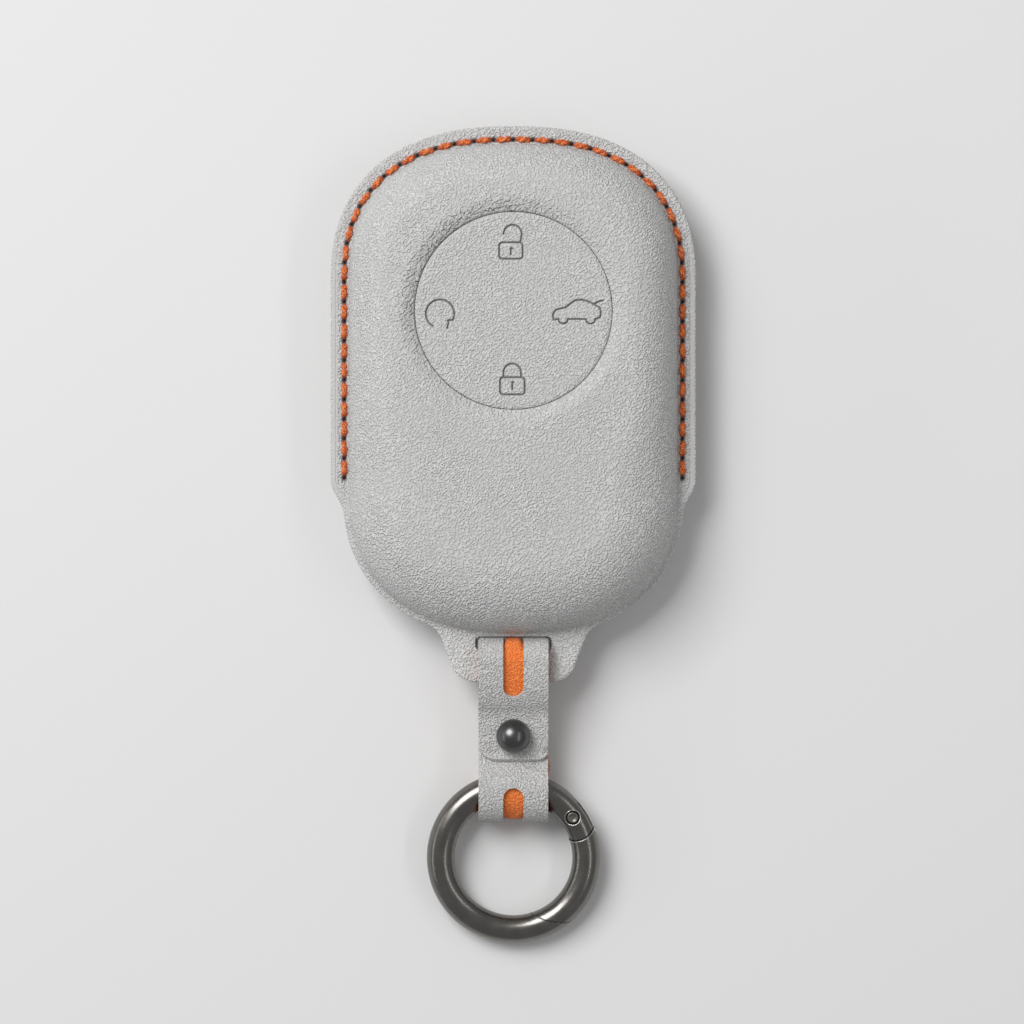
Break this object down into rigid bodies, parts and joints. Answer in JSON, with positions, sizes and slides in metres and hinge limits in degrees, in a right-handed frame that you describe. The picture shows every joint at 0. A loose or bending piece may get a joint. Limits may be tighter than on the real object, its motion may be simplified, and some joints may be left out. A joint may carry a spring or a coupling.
{
  "type": "key fob cover",
  "caption": "Moulded suede key fob cover, stitched round its edge, with a press disc, a stud-fastened strap and a spring-gate ring.",
  "frame": {"origin": "middle of the flat back face, which the cover lies on", "axes": "+Z out of the front, +Y towards the cover's top, away from the strap, +X to the right seen from the front"},
  "size_m": [0.0524, 0.1177, 0.0151],
  "materials": {
    "suede": "suede",
    "stiffener": "moulded",
    "lining": "matt",
    "orange_lining": "suede",
    "thread": "twisted",
    "gunmetal": "satin",
    "bright_steel": "satin"
  },
  "bodies": {
    "cover": {"front_skin": "suede", "front_core": "stiffener", "front_lining": "lining", "back_skin": "suede", "back_core": "stiffener", "back_lining": "lining", "front_stitches": "thread", "back_stitches": "thread"},
    "disc": {"press_disc": "suede", "disc_backing": "lining"},
    "strap": {"strap_suede": "suede", "strap_lining": "orange_lining", "stud_head": "gunmetal", "stud_screw": "gunmetal"},
    "flap": {"flap_suede": "suede", "flap_lining": "orange_lining"},
    "ring": {"ring_body": "gunmetal", "gate_rivet": "gunmetal", "spring_plunger": "bright_steel", "gate_spring": "bright_steel"},
    "gate": {"ring_gate": "gunmetal"}
  },
  "joints": [
    {"name": "disc_press", "type": "slide", "parent": "cover", "child": "disc", "axis": [0, 0, 1], "range_m": [-0.0006, 0], "stiffness_N_per_m": 1500},
    {"name": "strap_swing", "type": "hinge", "parent": "cover", "child": "strap", "pos_m": [0, -0.0411, 0.006], "axis": [-1, 0, 0], "range_deg": [-15, 25]},
    {"name": "flap_open", "type": "hinge", "parent": "strap", "child": "flap", "pos_m": [0, -0.04048, 0.00863], "axis": [-1, 0, 0], "range_deg": [0, 120]},
    {"name": "ring_swing", "type": "hinge", "parent": "strap", "child": "ring", "pos_m": [0, -0.0592, 0.00405], "axis": [-1, 0, 0], "range_deg": [-140, 140]},
    {"name": "gate_open", "type": "hinge", "parent": "ring", "child": "gate", "pos_m": [0.00853, -0.06275, 0.00369], "axis": [0, 0.1015, -0.9948], "range_deg": [0, 22], "stiffness_Nm_per_rad": 0.02, "springref_deg": -17.19}
  ]
}
